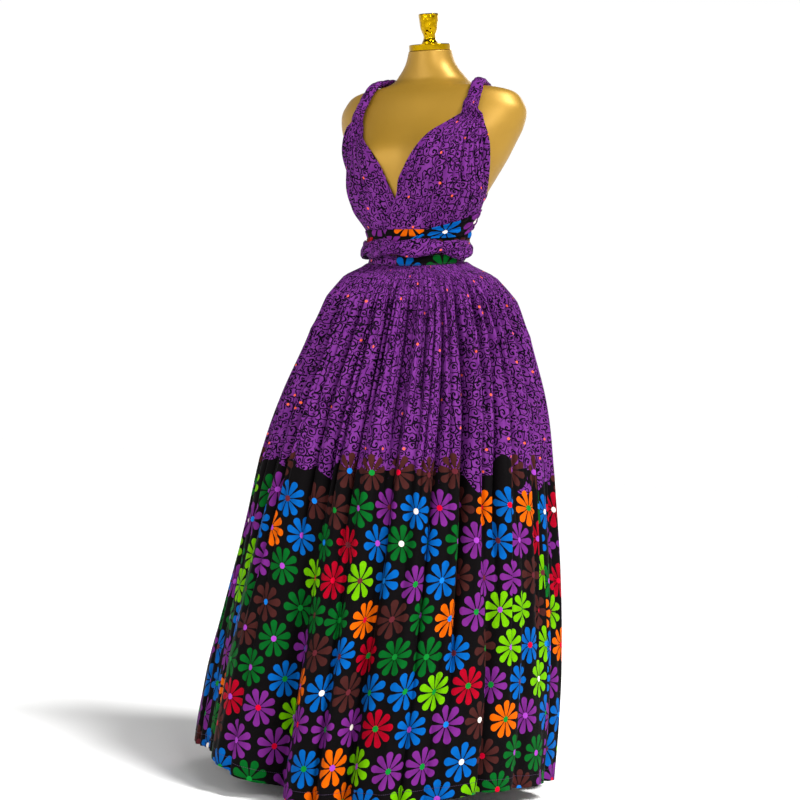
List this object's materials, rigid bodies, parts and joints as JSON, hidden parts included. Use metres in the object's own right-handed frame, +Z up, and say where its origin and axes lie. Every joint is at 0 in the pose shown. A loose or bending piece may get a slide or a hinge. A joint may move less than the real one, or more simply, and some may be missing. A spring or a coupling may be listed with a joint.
{
  "type": "ankara wax print dress on a dress form",
  "caption": "Floor-length twist-wrap dress with gathered skirt, draped bodice and wound waist, resting on a limbless dress form on a round-base stand.",
  "frame": {"origin": "middle of the underside of the stand's round base, on the floor", "axes": "+Z up along the stand to the neck, -Y towards the front of the dress, +X towards the form's left side"},
  "size_m": [0.7461, 0.7342, 1.5889],
  "materials": {
    "wax_print_cotton": "plain-weave printed cotton, light wax sheen",
    "satin_gold_plastic": "satin gold",
    "mirror_gold": "mirror, hammered on the finial",
    "powder_coated_iron": "satin black powder coat"
  },
  "bodies": {
    "root": {"form_torso": "satin_gold_plastic", "neck_cap": "mirror_gold", "finial": "mirror_gold", "stand_pole": "powder_coated_iron", "stand_base": "powder_coated_iron", "skirt_front": "wax_print_cotton", "skirt_back": "wax_print_cotton", "waistband": "wax_print_cotton", "bodice_left": "wax_print_cotton", "bodice_right": "wax_print_cotton", "strap_left_twist": "wax_print_cotton", "strap_right_twist": "wax_print_cotton", "strap_left_back": "wax_print_cotton", "strap_right_back": "wax_print_cotton", "wrap_upper": "wax_print_cotton", "wrap_side": "wax_print_cotton", "wrap_twist_a": "wax_print_cotton", "wrap_twist_b": "wax_print_cotton"}
  },
  "joints": []
}
